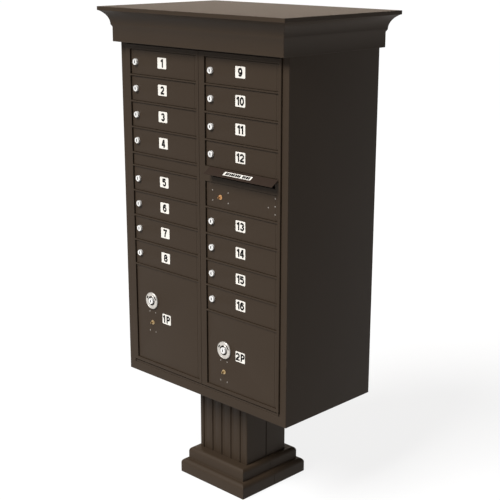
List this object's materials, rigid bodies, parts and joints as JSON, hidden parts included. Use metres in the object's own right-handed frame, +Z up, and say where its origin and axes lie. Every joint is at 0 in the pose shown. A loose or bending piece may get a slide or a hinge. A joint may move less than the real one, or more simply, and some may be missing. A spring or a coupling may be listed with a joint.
{
  "type": "cluster mailbox unit",
  "caption": "Free-standing pedestal cluster mailbox: cabinet of small locking mail doors, parcel lockers and a hooded mail slot, with coved crown, fluted column and stepped base.",
  "frame": {"origin": "centre of the overall footprint on the ground, under the middle of the crown", "axes": "+Z up, -Y is the front with the doors, +X is to the right of someone facing the doors"},
  "size_m": [0.859, 0.552, 1.6572],
  "materials": {
    "bronze_paint": "satin powder coat",
    "zinc_steel": "galvanised",
    "chrome": "bright",
    "brass": "satin"
  },
  "bodies": {
    "cabinet": {"pedestal_post": "zinc_steel", "column_cover_front": "bronze_paint", "column_cover_rear": "bronze_paint", "base_moulding_front": "bronze_paint", "base_moulding_rear": "bronze_paint", "cabinet_shell": "bronze_paint", "rack_left": "zinc_steel", "rack_right": "zinc_steel", "crown_moulding": "bronze_paint", "cap_panel": "bronze_paint", "hinge_rod_left": "bronze_paint", "hinge_rod_right": "bronze_paint"},
    "master_left": {"master_door_left": "bronze_paint", "door_rod_left": "zinc_steel", "blank_panel": "bronze_paint"},
    "master_right": {"master_door_right": "bronze_paint", "door_rod_right": "zinc_steel", "mail_hood": "bronze_paint"},
    "door_01": {"tenant_door_01": "bronze_paint"},
    "door_02": {"tenant_door_02": "bronze_paint"},
    "door_03": {"tenant_door_03": "bronze_paint"},
    "door_04": {"tenant_door_04": "bronze_paint"},
    "door_05": {"tenant_door_05": "bronze_paint"},
    "door_06": {"tenant_door_06": "bronze_paint"},
    "door_07": {"tenant_door_07": "bronze_paint"},
    "door_08": {"tenant_door_08": "bronze_paint"},
    "door_09": {"tenant_door_09": "bronze_paint"},
    "door_10": {"tenant_door_10": "bronze_paint"},
    "door_11": {"tenant_door_11": "bronze_paint"},
    "door_12": {"tenant_door_12": "bronze_paint"},
    "door_13": {"tenant_door_13": "bronze_paint"},
    "door_14": {"tenant_door_14": "bronze_paint"},
    "door_15": {"tenant_door_15": "bronze_paint"},
    "door_16": {"tenant_door_16": "bronze_paint"},
    "parcel_1": {"parcel_door_1": "bronze_paint", "lock_plate_1": "chrome"},
    "parcel_2": {"parcel_door_2": "bronze_paint", "lock_plate_2": "chrome"},
    "outgoing": {"outgoing_door": "bronze_paint"},
    "lock_01": {"tenant_lock_01": "chrome"},
    "lock_02": {"tenant_lock_02": "chrome"},
    "lock_03": {"tenant_lock_03": "chrome"},
    "lock_04": {"tenant_lock_04": "chrome"},
    "lock_05": {"tenant_lock_05": "chrome"},
    "lock_06": {"tenant_lock_06": "chrome"},
    "lock_07": {"tenant_lock_07": "chrome"},
    "lock_08": {"tenant_lock_08": "chrome"},
    "lock_09": {"tenant_lock_09": "chrome"},
    "lock_10": {"tenant_lock_10": "chrome"},
    "lock_11": {"tenant_lock_11": "chrome"},
    "lock_12": {"tenant_lock_12": "chrome"},
    "lock_13": {"tenant_lock_13": "chrome"},
    "lock_14": {"tenant_lock_14": "chrome"},
    "lock_15": {"tenant_lock_15": "chrome"},
    "lock_16": {"tenant_lock_16": "chrome"},
    "parcel_lock_1": {"parcel_lock_1": "chrome"},
    "carrier_lock_1": {"carrier_lock_1": "brass"},
    "parcel_lock_2": {"parcel_lock_2": "chrome"},
    "carrier_lock_2": {"carrier_lock_2": "brass"},
    "carrier_lock_3": {"carrier_lock_3": "brass"}
  },
  "joints": [
    {"name": "master_hinge_left", "type": "hinge", "parent": "cabinet", "child": "master_left", "pos_m": [-0.35645, -0.21, 0.40045], "axis": [0, 0, -1], "range_deg": [0, 95]},
    {"name": "master_hinge_right", "type": "hinge", "parent": "cabinet", "child": "master_right", "pos_m": [0.35645, -0.21, 0.40045], "axis": [0, 0, 1], "range_deg": [0, 95]},
    {"name": "door_01_hinge", "type": "hinge", "parent": "master_left", "child": "door_01", "pos_m": [-0.01645, -0.206, 1.4768], "axis": [0, 0, 1], "range_deg": [0, 90]},
    {"name": "door_02_hinge", "type": "hinge", "parent": "master_left", "child": "door_02", "pos_m": [-0.01645, -0.206, 1.3879], "axis": [0, 0, 1], "range_deg": [0, 90]},
    {"name": "door_03_hinge", "type": "hinge", "parent": "master_left", "child": "door_03", "pos_m": [-0.01645, -0.206, 1.299], "axis": [0, 0, 1], "range_deg": [0, 90]},
    {"name": "door_04_hinge", "type": "hinge", "parent": "master_left", "child": "door_04", "pos_m": [-0.01645, -0.206, 1.2101], "axis": [0, 0, 1], "range_deg": [0, 90]},
    {"name": "door_05_hinge", "type": "hinge", "parent": "master_left", "child": "door_05", "pos_m": [-0.01645, -0.206, 1.07675], "axis": [0, 0, 1], "range_deg": [0, 90]},
    {"name": "door_06_hinge", "type": "hinge", "parent": "master_left", "child": "door_06", "pos_m": [-0.01645, -0.206, 0.98785], "axis": [0, 0, 1], "range_deg": [0, 90]},
    {"name": "door_07_hinge", "type": "hinge", "parent": "master_left", "child": "door_07", "pos_m": [-0.01645, -0.206, 0.89895], "axis": [0, 0, 1], "range_deg": [0, 90]},
    {"name": "door_08_hinge", "type": "hinge", "parent": "master_left", "child": "door_08", "pos_m": [-0.01645, -0.206, 0.81005], "axis": [0, 0, 1], "range_deg": [0, 90]},
    {"name": "door_09_hinge", "type": "hinge", "parent": "master_right", "child": "door_09", "pos_m": [0.34475, -0.206, 1.4768], "axis": [0, 0, 1], "range_deg": [0, 90]},
    {"name": "door_10_hinge", "type": "hinge", "parent": "master_right", "child": "door_10", "pos_m": [0.34475, -0.206, 1.3879], "axis": [0, 0, 1], "range_deg": [0, 90]},
    {"name": "door_11_hinge", "type": "hinge", "parent": "master_right", "child": "door_11", "pos_m": [0.34475, -0.206, 1.299], "axis": [0, 0, 1], "range_deg": [0, 90]},
    {"name": "door_12_hinge", "type": "hinge", "parent": "master_right", "child": "door_12", "pos_m": [0.34475, -0.206, 1.2101], "axis": [0, 0, 1], "range_deg": [0, 90]},
    {"name": "door_13_hinge", "type": "hinge", "parent": "master_right", "child": "door_13", "pos_m": [0.34475, -0.206, 0.98785], "axis": [0, 0, 1], "range_deg": [0, 90]},
    {"name": "door_14_hinge", "type": "hinge", "parent": "master_right", "child": "door_14", "pos_m": [0.34475, -0.206, 0.89895], "axis": [0, 0, 1], "range_deg": [0, 90]},
    {"name": "door_15_hinge", "type": "hinge", "parent": "master_right", "child": "door_15", "pos_m": [0.34475, -0.206, 0.81005], "axis": [0, 0, 1], "range_deg": [0, 90]},
    {"name": "door_16_hinge", "type": "hinge", "parent": "master_right", "child": "door_16", "pos_m": [0.34475, -0.206, 0.72115], "axis": [0, 0, 1], "range_deg": [0, 90]},
    {"name": "parcel_1_hinge", "type": "hinge", "parent": "master_left", "child": "parcel_1", "pos_m": [-0.01645, -0.206, 0.5878], "axis": [0, 0, 1], "range_deg": [0, 90]},
    {"name": "parcel_2_hinge", "type": "hinge", "parent": "master_right", "child": "parcel_2", "pos_m": [0.34475, -0.206, 0.54335], "axis": [0, 0, 1], "range_deg": [0, 90]},
    {"name": "outgoing_hinge", "type": "hinge", "parent": "master_right", "child": "outgoing", "pos_m": [0.34475, -0.206, 1.07675], "axis": [0, 0, 1], "range_deg": [0, 90]},
    {"name": "lock_01_turn", "type": "hinge", "parent": "door_01", "child": "lock_01", "pos_m": [-0.30945, -0.2105, 1.4768], "axis": [0, 1, 0], "range_deg": [0, 90]},
    {"name": "lock_02_turn", "type": "hinge", "parent": "door_02", "child": "lock_02", "pos_m": [-0.30945, -0.2105, 1.3879], "axis": [0, 1, 0], "range_deg": [0, 90]},
    {"name": "lock_03_turn", "type": "hinge", "parent": "door_03", "child": "lock_03", "pos_m": [-0.30945, -0.2105, 1.299], "axis": [0, 1, 0], "range_deg": [0, 90]},
    {"name": "lock_04_turn", "type": "hinge", "parent": "door_04", "child": "lock_04", "pos_m": [-0.30945, -0.2105, 1.2101], "axis": [0, 1, 0], "range_deg": [0, 90]},
    {"name": "lock_05_turn", "type": "hinge", "parent": "door_05", "child": "lock_05", "pos_m": [-0.30945, -0.2105, 1.07675], "axis": [0, 1, 0], "range_deg": [0, 90]},
    {"name": "lock_06_turn", "type": "hinge", "parent": "door_06", "child": "lock_06", "pos_m": [-0.30945, -0.2105, 0.98785], "axis": [0, 1, 0], "range_deg": [0, 90]},
    {"name": "lock_07_turn", "type": "hinge", "parent": "door_07", "child": "lock_07", "pos_m": [-0.30945, -0.2105, 0.89895], "axis": [0, 1, 0], "range_deg": [0, 90]},
    {"name": "lock_08_turn", "type": "hinge", "parent": "door_08", "child": "lock_08", "pos_m": [-0.30945, -0.2105, 0.81005], "axis": [0, 1, 0], "range_deg": [0, 90]},
    {"name": "lock_09_turn", "type": "hinge", "parent": "door_09", "child": "lock_09", "pos_m": [0.05525, -0.2105, 1.4768], "axis": [0, 1, 0], "range_deg": [0, 90]},
    {"name": "lock_10_turn", "type": "hinge", "parent": "door_10", "child": "lock_10", "pos_m": [0.05525, -0.2105, 1.3879], "axis": [0, 1, 0], "range_deg": [0, 90]},
    {"name": "lock_11_turn", "type": "hinge", "parent": "door_11", "child": "lock_11", "pos_m": [0.05525, -0.2105, 1.299], "axis": [0, 1, 0], "range_deg": [0, 90]},
    {"name": "lock_12_turn", "type": "hinge", "parent": "door_12", "child": "lock_12", "pos_m": [0.05525, -0.2105, 1.2101], "axis": [0, 1, 0], "range_deg": [0, 90]},
    {"name": "lock_13_turn", "type": "hinge", "parent": "door_13", "child": "lock_13", "pos_m": [0.05525, -0.2105, 0.98785], "axis": [0, 1, 0], "range_deg": [0, 90]},
    {"name": "lock_14_turn", "type": "hinge", "parent": "door_14", "child": "lock_14", "pos_m": [0.05525, -0.2105, 0.89895], "axis": [0, 1, 0], "range_deg": [0, 90]},
    {"name": "lock_15_turn", "type": "hinge", "parent": "door_15", "child": "lock_15", "pos_m": [0.05525, -0.2105, 0.81005], "axis": [0, 1, 0], "range_deg": [0, 90]},
    {"name": "lock_16_turn", "type": "hinge", "parent": "door_16", "child": "lock_16", "pos_m": [0.05525, -0.2105, 0.72115], "axis": [0, 1, 0], "range_deg": [0, 90]},
    {"name": "parcel_lock_1_turn", "type": "hinge", "parent": "parcel_1", "child": "parcel_lock_1", "pos_m": [-0.25445, -0.2105, 0.6431], "axis": [0, -1, 0], "range_deg": [0, 90]},
    {"name": "carrier_lock_1_turn", "type": "hinge", "parent": "parcel_1", "child": "carrier_lock_1", "pos_m": [-0.25495, -0.2105, 0.5616], "axis": [0, 1, 0], "range_deg": [0, 90]},
    {"name": "parcel_lock_2_turn", "type": "hinge", "parent": "parcel_2", "child": "parcel_lock_2", "pos_m": [0.10965, -0.2105, 0.5519], "axis": [0, -1, 0], "range_deg": [0, 90]},
    {"name": "carrier_lock_2_turn", "type": "hinge", "parent": "parcel_2", "child": "carrier_lock_2", "pos_m": [0.10625, -0.2105, 0.4727], "axis": [0, 1, 0], "range_deg": [0, 90]},
    {"name": "carrier_lock_3_turn", "type": "hinge", "parent": "outgoing", "child": "carrier_lock_3", "pos_m": [0.09425, -0.2105, 1.07275], "axis": [0, 1, 0], "range_deg": [0, 90]}
  ]
}
